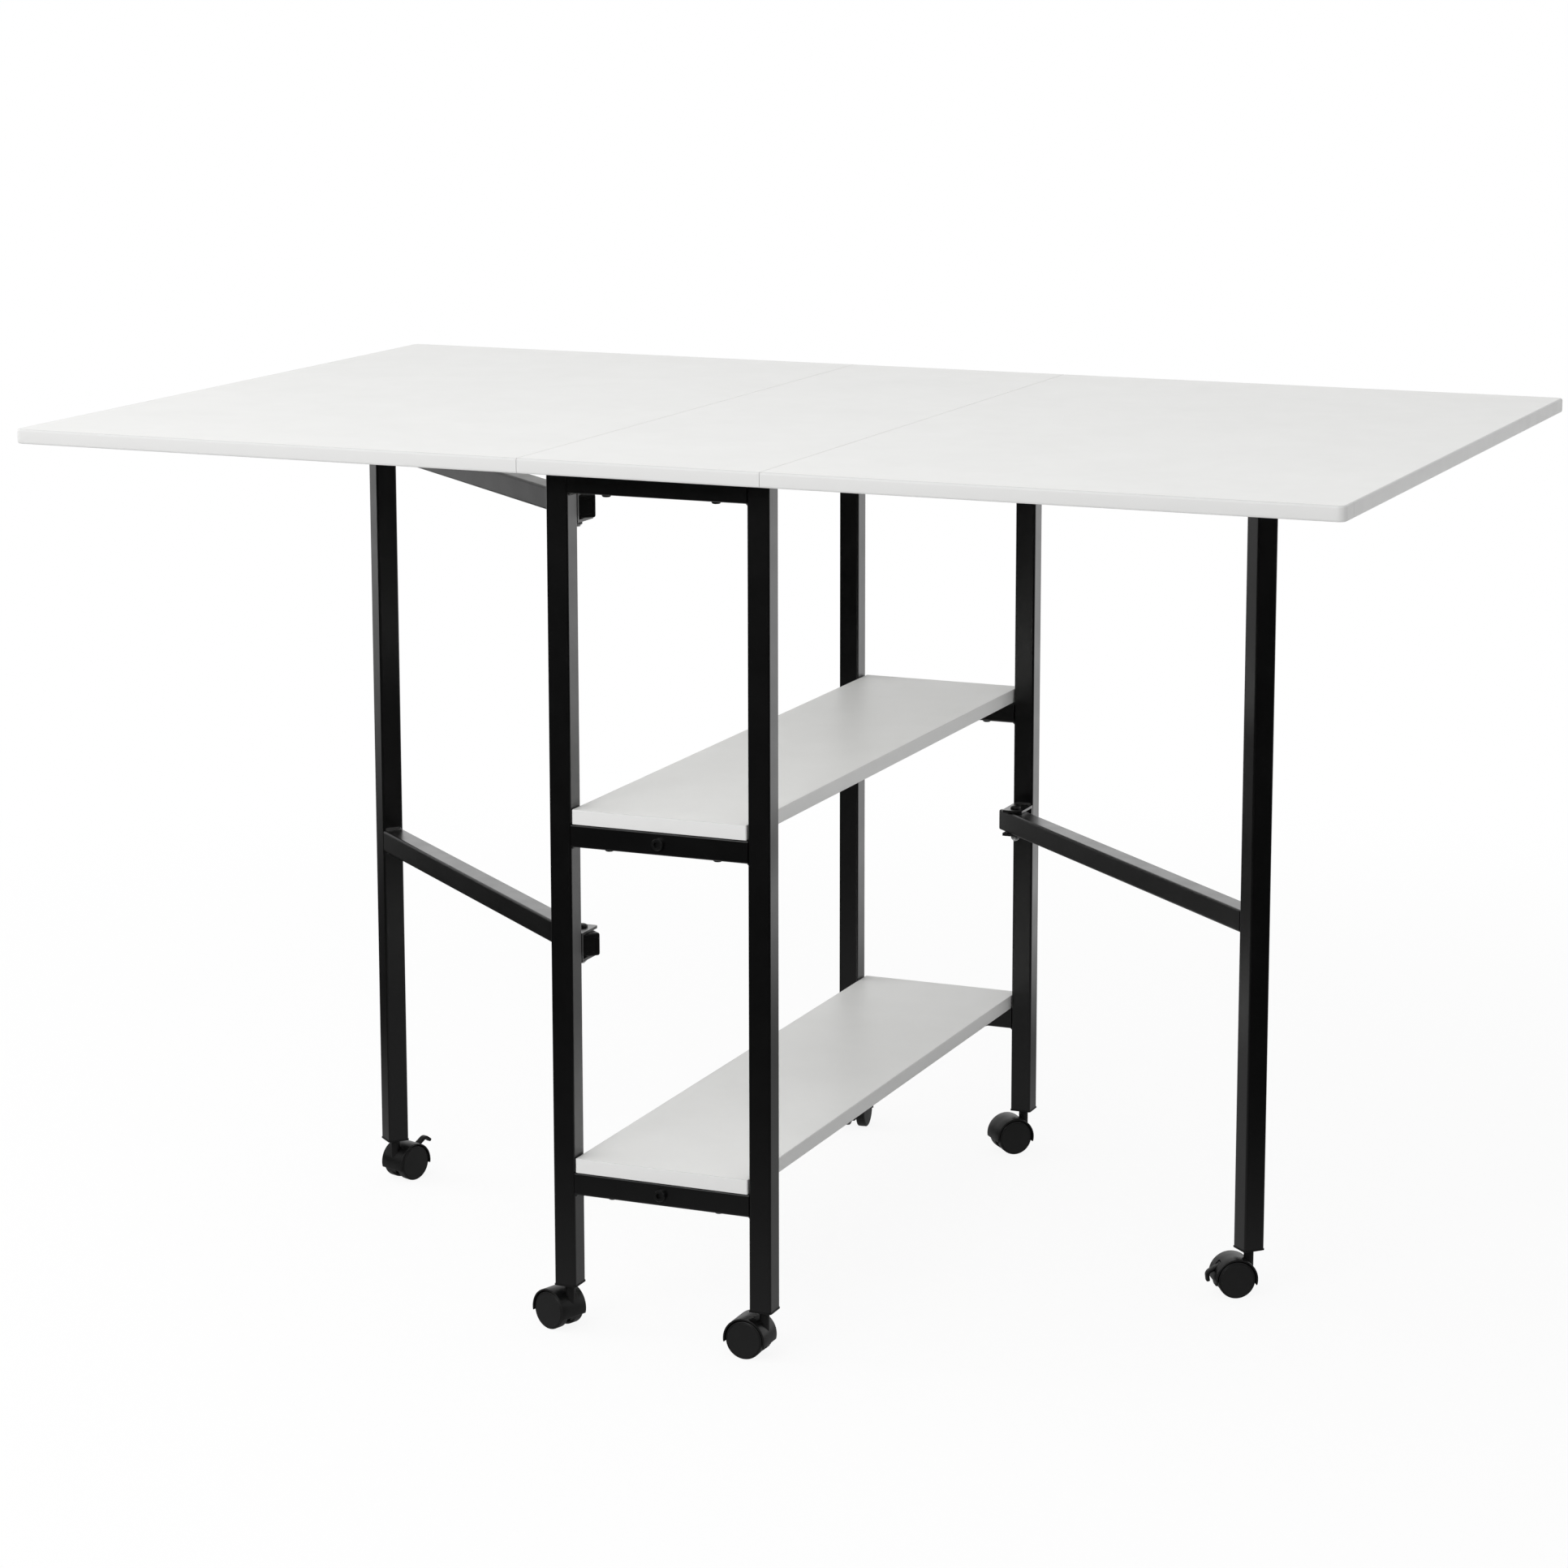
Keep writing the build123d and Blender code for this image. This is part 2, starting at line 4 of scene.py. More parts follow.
import bmesh
import bpy
import numpy as np
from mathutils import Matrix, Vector


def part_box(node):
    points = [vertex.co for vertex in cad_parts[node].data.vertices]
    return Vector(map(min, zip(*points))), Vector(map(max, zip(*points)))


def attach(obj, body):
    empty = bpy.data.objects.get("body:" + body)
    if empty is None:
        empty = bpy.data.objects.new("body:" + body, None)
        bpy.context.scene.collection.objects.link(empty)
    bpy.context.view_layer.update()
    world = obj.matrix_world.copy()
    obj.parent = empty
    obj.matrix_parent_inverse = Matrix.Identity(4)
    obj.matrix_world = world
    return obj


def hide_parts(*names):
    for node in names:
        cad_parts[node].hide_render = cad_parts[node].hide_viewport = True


# Drop-leaf sewing table on six casters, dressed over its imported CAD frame.
# The pieces' sizes are in millimetres and the stage's are in metres. Places come from the
# frame: the nodes' boxes, and the joints' positions and ranges.

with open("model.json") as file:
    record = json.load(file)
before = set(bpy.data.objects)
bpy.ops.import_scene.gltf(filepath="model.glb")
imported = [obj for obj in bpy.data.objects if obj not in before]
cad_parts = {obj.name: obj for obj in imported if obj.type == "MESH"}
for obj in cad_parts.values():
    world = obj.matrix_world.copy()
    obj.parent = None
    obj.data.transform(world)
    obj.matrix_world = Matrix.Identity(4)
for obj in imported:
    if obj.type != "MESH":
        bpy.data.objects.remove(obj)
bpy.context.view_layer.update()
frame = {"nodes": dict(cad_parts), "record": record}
nodes = frame["nodes"]
record = frame["record"]
joints = {joint["name"]: joint for joint in record["behaviour"]["joints"]}
slotOf = {part["node"]: part["material_slot"] for part in record["subparts"]}
mm = 0.001
alongX = np.array((1.0, 0.0, 0.0))
upward = np.array((0.0, 0.0, 1.0))


# where things are, in millimetres

def boxOf(node):
    return [np.array(corner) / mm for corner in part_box(node)]


def middleOf(node):
    return sum(boxOf(node)) / 2


def jointPlace(name):
    return np.array(joints[name]["pos_m"]) / mm


def levelDirection(start, end):
    # the way from one place to another, as seen from above
    step = (end - start) * (1.0, 1.0, 0.0)
    return step / np.linalg.norm(step)


# surfaces: each is (points in millimetres, list of face arrays)

def gridFaces(rows, columns, ring=False):
    # the quads between neighbouring rows and columns of a grid, whose columns may close into a ring
    row = np.arange(rows - 1)[:, None]
    column = np.arange(columns if ring else columns - 1)[None, :]
    nextColumn = (column + 1) % columns
    corners = (row * columns + column, row * columns + nextColumn,
               (row + 1) * columns + nextColumn, (row + 1) * columns + column)
    return np.stack(np.broadcast_arrays(*corners), axis=-1).reshape(-1, 4)


def endFaces(rows, columns):
    # one face across the first row of a grid and one across its last
    first = np.arange(columns)[None, :]
    return [first, first + (rows - 1) * columns]


def closedFaces(rows, columns):
    # rings of quads between the rows, and a face across each end
    return [gridFaces(rows, columns, ring=True)] + endFaces(rows, columns)


def gridPoints(x, y, z):
    # a point for each row and column, from arrays that broadcast together
    return np.stack(np.broadcast_arrays(x, y, z), axis=-1).reshape(-1, 3)


def fullTurn(count):
    # angles all the way round, in even steps
    return 2 * np.pi * np.arange(count) / count


def arc(centre, radius, start, end, steps=6):
    # points of part of a circle: centre + radius times (cosine, sine) of angles in degrees
    angle = np.radians(np.linspace(start, end, steps + 1))[:, None]
    return np.asarray(centre) + radius * np.hstack((np.cos(angle), np.sin(angle)))


def lathe(profile, columns):
    # place(i, j) = radius i turned to angle j, at height i
    radius, height = np.asarray(profile, float).T[:, :, None]
    angle = fullTurn(columns)
    points = gridPoints(radius * np.cos(angle), radius * np.sin(angle), height)
    return points, [gridFaces(len(profile), columns, ring=True)]


def placed(surface, origin, along, up=upward):
    # a surface stood at origin with its own x axis along one direction and its z axis up another
    points, faces = surface
    axes = np.stack((along, np.cross(up, along), up))
    return points @ axes + origin, faces


def makePiece(name, surfaces, body, slotName, replaced=(), sharpAngle=30, marks=None):
    # joins surfaces into one mesh, merges poles and seams, and turns the faces outward
    points, faces, start = [], [], 0
    for surfacePoints, surfaceFaces in surfaces:
        points.append(surfacePoints)
        faces += [face for block in surfaceFaces for face in (np.asarray(block) + start).tolist()]
        start += len(surfacePoints)
    mesh = bpy.data.meshes.new(name)
    mesh.from_pydata(np.concatenate(points) * mm, [], faces)
    for label, values in (marks or {}).items():
        mesh.attributes.new(label, "FLOAT", "POINT").data.foreach_set("value", values)
    work = bmesh.new()
    work.from_mesh(mesh)
    bmesh.ops.remove_doubles(work, verts=work.verts, dist=1e-6)
    bmesh.ops.dissolve_degenerate(work, edges=work.edges, dist=1e-7)
    bmesh.ops.recalc_face_normals(work, faces=work.faces)
    work.to_mesh(mesh)
    work.free()
    mesh.shade_smooth()
    mesh.set_sharp_from_angle(angle=radians(sharpAngle))
    mesh.materials.append(finishes[slotName])
    piece = bpy.data.objects.new(name, mesh)
    bpy.context.scene.collection.objects.link(piece)
    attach(piece, body)
    if replaced:
        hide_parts(*replaced)


# node-building shorthands

def addNode(tree, kind, inputs=None, **settings):
    node = tree.nodes.new(kind)
    for key, value in settings.items():
        setattr(node, key, value)
    for socket, value in (inputs or {}).items():
        if isinstance(value, bpy.types.NodeSocket):
            tree.links.new(value, node.inputs[socket])
        else:
            node.inputs[socket].default_value = value
    return node


def mapRange(tree, value, start, end, low, high, smooth=False):
    # low at start, high at end, and between them in between
    node = addNode(tree, "ShaderNodeMapRange", {
        "Value": value, "From Min": start, "From Max": end, "To Min": low, "To Max": high},
        interpolation_type="SMOOTHSTEP" if smooth else "LINEAR")
    return node.outputs["Result"]


def mixValue(tree, factor, first, second):
    return addNode(tree, "ShaderNodeMix", {"Factor": factor, "A": first, "B": second}).outputs["Result"]


def mixColor(tree, factor, first, second):
    # a Mix node's colours are its inputs 6 and 7 and its output 2
    node = addNode(tree, "ShaderNodeMix", {"Factor": factor, 6: first, 7: second}, data_type="RGBA")
    return node.outputs[2]


def newGroup(name, inputs, output):
    # a shader node group with named float inputs and one float output
    group = bpy.data.node_groups.new(name, "ShaderNodeTree")
    for label, value in inputs.items():
        socket = group.interface.new_socket(label, in_out="INPUT", socket_type="NodeSocketFloat")
        socket.default_value = value
    group.interface.new_socket(output, in_out="OUTPUT", socket_type="NodeSocketFloat")
    return group, addNode(group, "NodeGroupInput"), addNode(group, "NodeGroupOutput")


def useGroup(tree, group, **values):
    node = addNode(tree, "ShaderNodeGroup", node_tree=group)
    for label, value in values.items():
        node.inputs[label].default_value = value
    return node


# shared effects, whose Size is the width of a bump or a patch in millimetres

def makePebbleGroup():
    # small rounded bumps, as in orange peel, moulded grain or pressed melamine
    group, given, out = newGroup("pebbleHeight", {"Size": 1.0, "Spread": 0.5}, "Height")
    scale = addNode(group, "ShaderNodeMath", {0: 1 / mm, 1: given.outputs["Size"]}, operation="DIVIDE")
    place = addNode(group, "ShaderNodeTexCoord")
    cells = addNode(group, "ShaderNodeTexVoronoi", {
        "Vector": place.outputs["Object"], "Scale": scale.outputs[0]}, feature="SMOOTH_F1")
    waves = addNode(group, "ShaderNodeTexNoise", {
        "Vector": place.outputs["Object"], "Scale": scale.outputs[0], "Detail": 2.0})
    height = mixValue(group, given.outputs["Spread"], cells.outputs["Distance"], waves.outputs[0])
    group.links.new(height, out.inputs["Height"])
    return group


def makeUnevenGroup():
    # a value that drifts slowly over the surface, for sheen that isn't the same all over
    group, given, out = newGroup("unevenValue", {"Size": 60.0, "Low": 0.4, "High": 0.5}, "Value")
    scale = addNode(group, "ShaderNodeMath", {0: 1 / mm, 1: given.outputs["Size"]}, operation="DIVIDE")
    place = addNode(group, "ShaderNodeTexCoord")
    noise = addNode(group, "ShaderNodeTexNoise", {
        "Vector": place.outputs["Object"], "Scale": scale.outputs[0], "Detail": 4.0, "Roughness": 0.6})
    least, most = 0.3, 0.7              # between which the noise mostly stays
    value = mapRange(group, noise.outputs[0], least, most, given.outputs["Low"], given.outputs["High"])
    group.links.new(value, out.inputs["Value"])
    return group


pebbleGroup = makePebbleGroup()
unevenGroup = makeUnevenGroup()


def newMaterial(name, look):
    # one colour, a roughness that drifts between two values, and small bumps
    material = bpy.data.materials.new(name)
    material.use_nodes = True
    tree = material.node_tree
    shader = tree.nodes["Principled BSDF"]
    shader.inputs["Base Color"].default_value = (*look["color"], 1.0)
    for label, value in look.get("shader", {}).items():
        shader.inputs[label].default_value = value
    low, high = look["roughness"]
    drift = useGroup(tree, unevenGroup, Size=look["sheenSize"], Low=low, High=high)
    tree.links.new(drift.outputs["Value"], shader.inputs["Roughness"])
    pebbles = useGroup(tree, pebbleGroup, Size=look["pebble"], Spread=look["spread"])
    bump = addNode(tree, "ShaderNodeBump", {
        "Height": pebbles.outputs["Height"], "Distance": look["pebbleDepth"] * mm, "Strength": 1.0})
    tree.links.new(bump.outputs["Normal"], shader.inputs["Normal"])
    return material


def makeMelamine():
    # pressed white facing, greyer on the edging round the boards' sides (partly the band's own colour
    # and partly painted shade), with a fine line where the two meet
    look = {"color": (0.862, 0.862, 0.848), "shade": (0.84, 0.84, 0.826), "shadeSize": 90.0,
            "edging": (0.695, 0.695, 0.688), "joint": (0.5, 0.5, 0.495), "roughness": (0.38, 0.48),
            "sheenSize": 25.0, "pebble": 0.9, "pebbleDepth": 0.012, "spread": 0.6}
    material = newMaterial("whiteMelamine", look)
    tree = material.node_tree
    drift = useGroup(tree, unevenGroup, Size=look["shadeSize"], Low=0.0, High=1.0)
    color = mixColor(tree, drift.outputs["Value"], (*look["color"], 1.0), (*look["shade"], 1.0))
    # the edging's grey is partly the band's own colour and partly painted shade that darkens the boards'
    # sides
    for mark, tone in (("edgeBand", look["edging"]), ("bandJoint", look["joint"])):
        where = addNode(tree, "ShaderNodeAttribute", attribute_name=mark)
        color = mixColor(tree, where.outputs["Fac"], color, (*tone, 1.0))
    tree.links.new(color, tree.nodes["Principled BSDF"].inputs["Base Color"])
    return material


def makePowderCoat():
    # a satin black coat on the tubes
    return newMaterial("blackPowderCoat", {
        "color": (0.0016, 0.0016, 0.0017), "roughness": (0.28, 0.4), "sheenSize": 40.0,
        "pebble": 0.9, "pebbleDepth": 0.02, "spread": 0.5,
        "shader": {"IOR": 1.35, "Coat Weight": 1.0, "Coat IOR": 1.38, "Coat Roughness": 0.28}})


def makeBlackOxide():
    # blackened bolts and screws
    return newMaterial("blackOxide", {
        "color": (0.005, 0.005, 0.005), "roughness": (0.3, 0.42), "sheenSize": 40.0,
        "pebble": 0.5, "pebbleDepth": 0.008, "spread": 0.5, "shader": {"IOR": 1.4}})


def makeZinc():
    # bright plated nuts and hinges
    return newMaterial("brightZinc", {
        "color": (0.78, 0.785, 0.79), "roughness": (0.22, 0.4), "sheenSize": 6.0,
        "pebble": 1.5, "pebbleDepth": 0.01, "spread": 0.7, "shader": {"Metallic": 1.0}})


def makeHoodNylon():
    # moulded hoods, brake levers and caps
    return newMaterial("blackNylon", {
        "color": (0.004, 0.004, 0.004), "roughness": (0.3, 0.42), "sheenSize": 40.0,
        "pebble": 0.5, "pebbleDepth": 0.012, "spread": 0.5, "shader": {"IOR": 1.4}})


def makeWheelNylon():
    # duller wheels
    return newMaterial("wheelNylon", {
        "color": (0.007, 0.007, 0.007), "roughness": (0.36, 0.48), "sheenSize": 40.0,
        "pebble": 0.5, "pebbleDepth": 0.012, "spread": 0.5, "shader": {"IOR": 1.42}})


finishes = {
    "white_board": makeMelamine(),
    "black_tube": makePowderCoat(),
    "black_steel": makeBlackOxide(),
    "zinc_steel": makeZinc(),
    "black_plastic": makeHoodNylon(),
    "caster_tread": makeWheelNylon(),
}
for name, node in nodes.items():        # the frame's own meshes
    for place in node.material_slots:
        place.material = finishes[slotOf[name]]
print("materials:", ", ".join(finish.name for finish in finishes.values()))


# boards

def boardProfile(edge, band, thick):
    # (inset, height) up a board's softened edge, with marks of 1 on the edging and on its joint; the
    # edging's greyer colour is partly painted shade on the board's sides
    line, flat = 0.15, 4.0              # half the joint's fade, and the width of flat face drawn
    steps = np.vstack((
        [(band + flat, 0.0), (band + line, 0.0), (band, 0.0), (band - line, 0.0)],
        arc((edge, edge), edge, 270, 180),
        arc((edge, thick - edge), edge, 180, 90),
        [(band - line, thick), (band, thick), (band + line, thick), (band + flat, thick)],
    ))
    joint = (np.abs(steps[:, 0] - band) < line / 2).astype(float)
    edging = (steps[:, 0] < band - line / 2).astype(float)
    return steps, {"bandJoint": joint, "edgeBand": edging}


def straightColumns(places, outward):
    # columns of an outline, each (place, way out of the corner, normal), on a straight side
    ways = np.tile(np.array(outward, float), (len(places), 1))
    return [np.array(places), ways, ways]


def cornerColumns(place, sign, start, steps=8):
    # columns of an outline that turn one corner, from a start angle in degrees
    angle = np.radians(start + np.linspace(0, 90, steps + 1))
    return [np.tile(place, (steps + 1, 1)), np.tile(sign, (steps + 1, 1)),
            np.stack((np.cos(angle), np.sin(angle)), axis=1)]


def rectangleColumns(low, high, steps=8):
    # the four corners of a rectangle, counter-clockwise
    turns = [cornerColumns(np.where(np.array(sign) > 0, high, low), sign, start, steps)
             for sign, start in (((1, 1), 0), ((-1, 1), 90), ((-1, -1), 180), ((1, -1), 270))]
    return [np.concatenate(part) for part in zip(*turns)]


def carriedEdge(profile, columns, corner, base, notch=0.0):
    # place(i, j) = corner point j, drawn in by inset i and rounded by what is left of the corner,
    # at height i
    place, sign, normal = columns
    inset = profile[:, :1, None] + np.asarray(notch).reshape(1, -1, 1)
    bend = np.maximum(corner - inset, 0.05)     # never quite none, so that no points meet
    level = place - sign * (inset + bend) + bend * normal
    height = np.broadcast_to(profile[:, 1:, None] + base, level.shape[:2] + (1,))
    return np.concatenate((level, height), axis=-1).reshape(-1, 3)


def makeCentrePanel():
    # the edge's profile at both ends of the panel, carried straight from seam to seam
    panel = {"edge": 2.5, "band": 2.8}
    low, high = boxOf("centre_panel")
    profile, marks = boardProfile(panel["edge"], panel["band"], high[2] - low[2])
    inset, height = profile.T
    section = np.stack((np.concatenate((low[1] + inset, high[1] - inset[::-1])),
                        np.concatenate((height, height[::-1])) + low[2]), axis=1)
    points = gridPoints(np.array((low[0], high[0]))[:, None], section[:, 0], section[:, 1])
    makePiece("centrePanel", [(points, closedFaces(2, len(section)))], "shelf_unit", "white_board",
              ["centre_panel"], marks={label: np.tile(np.concatenate((values, values[::-1])), 2)
                                       for label, values in marks.items()})


def makeLeaf(side):
    # the edge's profile runs round three sides and stops square at the seam
    leaf = {"edge": 2.5, "band": 2.8, "corner": 9.0, "bandEnd": 30.0, "bandGap": 0.3, "gapHalf": 0.4}
    node = f"{side}_leaf"
    low, high = boxOf(node)
    turned = -1.0 if side == "left" else 1.0
    seam, end = sorted(np.abs((low[0], high[0])))
    half = high[1]
    profile, marks = boardProfile(leaf["edge"], leaf["band"], high[2] - low[2])
    meet = turned * (leaf["bandEnd"] - half)        # where the edging's two ends meet
    gap = [(end, meet + step) for step in (-leaf["gapHalf"], 0.0, leaf["gapHalf"])]
    turns = [straightColumns([(seam, -half)], (0, -1)),
             cornerColumns((end, -half), (1, -1), 270),
             straightColumns(gap, (1, 0)),
             cornerColumns((end, half), (1, 1), 0),
             straightColumns([(seam, half)], (0, 1))]
    beforeGap = sum(len(turn[0]) for turn in turns[:2])
    columns = [np.concatenate(part) for part in zip(*turns)]
    rows, count = len(profile), len(columns[0])
    notch = np.zeros(count)
    notch[beforeGap + 1] = leaf["bandGap"]          # a fine nick between the edging's ends
    points = carriedEdge(profile, columns, leaf["corner"], low[2], notch) * (turned, turned, 1.0)
    start = np.arange(rows) * count
    seamFace = np.concatenate((start, start[::-1] + count - 1))[None, :]
    faces = [gridFaces(rows, count), seamFace] + endFaces(rows, count)
    makePiece(f"{side}Leaf", [(points, faces)], node, "white_board", [node],
              marks={label: np.repeat(values, count) for label, values in marks.items()})


def makeShelf(level):
    # the edge's profile runs round all four sides
    shelf = {"edge": 0.8, "band": 1.2, "corner": 1.6}
    node = f"{level}_shelf"
    low, high = boxOf(node)
    profile, marks = boardProfile(shelf["edge"], shelf["band"], high[2] - low[2])
    columns = rectangleColumns(low[:2], high[:2])
    count = len(columns[0])
    points = carriedEdge(profile, columns, shelf["corner"], low[2])
    makePiece(f"{level}Shelf", [(points, closedFaces(len(profile), count))], "shelf_unit",
              "white_board", [node],
              marks={label: np.repeat(values, count) for label, values in marks.items()})


makeCentrePanel()
for side in ("left", "right"):
    makeLeaf(side)
for level in ("upper", "lower"):
    makeShelf(level)
print("boards: centre panel, two leaves and two shelves")


# casters, each drawn about its axle with x the way it trails and y along the axle

brakePin = {"reach": 20.5, "angle": 44.0, "radius": 1.0, "half": 5.0}


def crosswise(surface):
    # a turned surface laid over, its own axis across the caster
    points, faces = surface
    return points[:, (0, 2, 1)] * (1.0, 1.0, -1.0), faces


def crossRod(radius, half, columns):
    # a plain round bar across the caster
    return crosswise(lathe([(0, -half), (radius, -half), (radius, half), (0, half)], columns))


def pinPlace():
    # where the brake's pin is, from the axle
    turn = radians(brakePin["angle"])
    return brakePin["reach"] * np.array((np.cos(turn), 0.0, np.sin(turn)))


def hoodShell(hood, window):
    # A band bent round the axle: place(i, j) = the section's side j at angle i, its thickness
    # running out to nothing over a rounded end. A window is left open between two angles.
    middle = hood["inside"] + hood["wall"] / 2
    turn = np.radians(np.linspace(0, 90, 6))
    ending = np.degrees(hood["endRound"] * (1 - np.cos(turn)) / middle)
    first, last = hood["start"] + ending, (hood["end"] - ending)[::-1]
    between = np.unique(np.concatenate((np.linspace(first[-1], last[0], hood["steps"]), window or ())))
    angles = np.radians(np.concatenate((first[:-1], between, last[1:])))
    fullness = np.concatenate((np.sin(turn[:-1]), np.ones(len(between)), np.sin(turn[:-1])[::-1]))

    halfWidth, halfWall, soft = hood["width"] / 2, hood["wall"] / 2, hood["sideRound"]
    slot = hood["windowWidth"] / 2
    corner = arc((-halfWidth + soft, halfWall - soft), soft, 180, 90, 4)
    flat = np.array([(y, halfWall) for y in (-slot, 0.0, slot)])
    outer = np.vstack((corner, flat, corner[::-1] * (-1, 1)))
    across, lift = np.vstack((outer, outer[::-1] * (1, -1))).T
    reach = middle + lift * fullness[:, None]
    points = gridPoints(reach * np.cos(angles)[:, None], across, reach * np.sin(angles)[:, None])
    count, half = len(across), len(outer)
    faces = gridFaces(len(angles), count, ring=True)
    if not window:
        return points, [faces]

    def at(row, column):
        return row * count + column

    low, high = (int(np.argmin(np.abs(np.degrees(angles) - edge))) for edge in window)
    left, right = len(corner), len(corner) + len(flat) - 1
    row, column = faces[:, 0] // count, faces[:, 0] % count
    mirrored = np.where(column < half, column, 2 * half - 2 - column)
    inWindow = (row >= low) & (row < high) & (mirrored >= left) & (mirrored < right)
    steps, lanes, inner = np.arange(low, high), np.arange(left, right), count - 1
    walls = [np.stack((at(steps, edge), at(steps + 1, edge),
                       at(steps + 1, inner - edge), at(steps, inner - edge)), axis=1)
             for edge in (left, right)]
    walls += [np.stack((at(edge, lanes), at(edge, lanes + 1),
                        at(edge, inner - 1 - lanes), at(edge, inner - lanes)), axis=1)
              for edge in (low, high)]
    return points, [faces[~inWindow]] + walls


def webPlate(web, low, high, notch=None):
    # place(i, j) = reach of the outline at angle j, less inset i, at width i; the outline is a
    # circle cut off level below, and stands back where the brake lever swings
    breaks = [0.0] + [edge + way * web["notchStep"] for edge in notch or () for way in (-1, 1)]
    corner = np.degrees(np.arcsin(web["drop"] / web["reach"]))
    around = np.arange(-180, 180, 5)
    turns = np.unique(np.concatenate((around, (-corner, corner - 180), breaks)))
    angle = np.radians(turns)
    reach = np.minimum(web["reach"], web["drop"] / np.maximum(-np.sin(angle), 1e-6))
    if notch:
        away = (turns > notch[0]) & (turns < notch[1])
        reach = np.where(away, web["notchReach"], reach)
    bevel = web["bevel"]
    inset = np.array((bevel, 0.0, 0.0, bevel))[:, None]
    width = np.array((low, low + bevel, high - bevel, high))[:, None]
    points = gridPoints((reach - inset) * np.cos(angle), width, (reach - inset) * np.sin(angle))
    return points, closedFaces(len(inset), len(angle))


def makeHood(name, label, stem, axle, along):
    # the bent shell, the web between the wheels, the neck round the stem and the brake's pin
    hood = {"inside": 22.0, "wall": 2.0, "width": 35.0, "start": -10.0, "end": 196.0, "endRound": 1.6,
            "sideRound": 0.75, "window": (16.8, 50.5), "windowWidth": 8.8, "steps": 42}
    web = {"reach": 23.0, "drop": 9.5, "bevel": 0.5, "halfWidth": 5.0}
    splitWeb = dict(web, bevel=0.3, skin=0.6, notch=(12.0, 52.0), notchStep=0.3, notchReach=17.0)
    neck = {"radius": 5.5, "foot": 19.0, "round": 0.8}
    node = f"{name}_caster_hood"
    top = boxOf(node)[1][2]
    half, inside = web["halfWidth"], web["halfWidth"] - splitWeb["skin"]
    braked = f"{name}_brake_press" in joints
    if braked:
        surfaces = [hoodShell(hood, hood["window"]), webPlate(splitWeb, -half, -inside),
                    webPlate(splitWeb, -inside, inside, splitWeb["notch"]),
                    webPlate(splitWeb, inside, half)]
    else:
        surfaces = [hoodShell(hood, None), webPlate(web, -half, half)]
    surfaces = [placed(surface, axle, along) for surface in surfaces]
    soft = neck["round"]
    turned = lathe(np.vstack(([(0, neck["foot"]), (neck["radius"], neck["foot"])],
                              arc((neck["radius"] - soft, top - soft), soft, 0, 90, 4), [(0, top)])), 40)
    surfaces.append(placed(turned, stem * (1, 1, 0), along))
    if braked:
        pin = placed(crossRod(brakePin["radius"], brakePin["half"], 16), pinPlace(), alongX)
        surfaces.append(placed(pin, axle, along))
    makePiece(f"{label}Hood", surfaces, f"{name}_caster", "black_plastic", [node])


def wheelProfile(wheel):
    # (radius, width) from the domed disc over the shoulder and tread to the hub inside the rim
    outer, inner, reach = wheel["outer"], wheel["inner"], wheel["reach"]
    disc, discRound, groove = wheel["disc"], wheel["discRound"], wheel["groove"]
    bevel, soft, depth = wheel["bevel"], wheel["innerRound"], wheel["inner"] + wheel["hollow"]
    face = outer - wheel["discRise"]
    dome = np.linspace(0, disc - discRound, 8)
    tread = np.linspace(-1, 1, 7)
    return np.vstack((
        np.stack((dome, outer - wheel["dome"] * (dome / disc) ** 2), axis=1),
        arc((disc - discRound, outer - wheel["dome"] - discRound), discRound, 90, 0, 4),
        arc((disc + groove, face - wheel["grooveSink"]), groove, 180, 360, 5),
        arc((reach - bevel, face - bevel), bevel, wheel["bevelStart"], 0, 7),
        np.stack((reach - wheel["crown"] * tread ** 4,
                  np.linspace(face - bevel - wheel["treadDrop"], inner + soft, len(tread))), axis=1),
        arc((reach - soft - wheel["innerStep"], inner + soft), soft, 0, -90, 4),
        [(wheel["rim"], inner), (wheel["rim"], depth), (wheel["hub"], depth), (wheel["hub"], inner),
         (0.0, inner)],
    ))


def makeWheels(name, label, axle, along):
    # two turned wheels, the second a mirror image of the first, and their axle
    wheel = {"outer": 17.3, "inner": 6.3, "reach": 21.0, "disc": 19.0, "discRound": 0.5,
             "discRise": 0.5, "dome": 0.3, "groove": 0.3, "grooveSink": 0.1, "bevel": 1.4,
             "bevelStart": 78, "crown": 0.15, "treadDrop": 0.2, "innerRound": 0.6, "innerStep": 0.1,
             "rim": 18.5, "hollow": 6.5, "hub": 4.5}
    bar = {"radius": 2.0, "half": 15.3}
    points, faces = crosswise(lathe(wheelProfile(wheel), 64))
    surfaces = [(points, faces), (points * (1.0, -1.0, 1.0), faces),
                crossRod(bar["radius"], bar["half"], 24)]
    makePiece(f"{label}Wheels", [placed(surface, axle, along) for surface in surfaces],
              f"{name}_wheels", "caster_tread", [f"{name}_caster_wheels"])


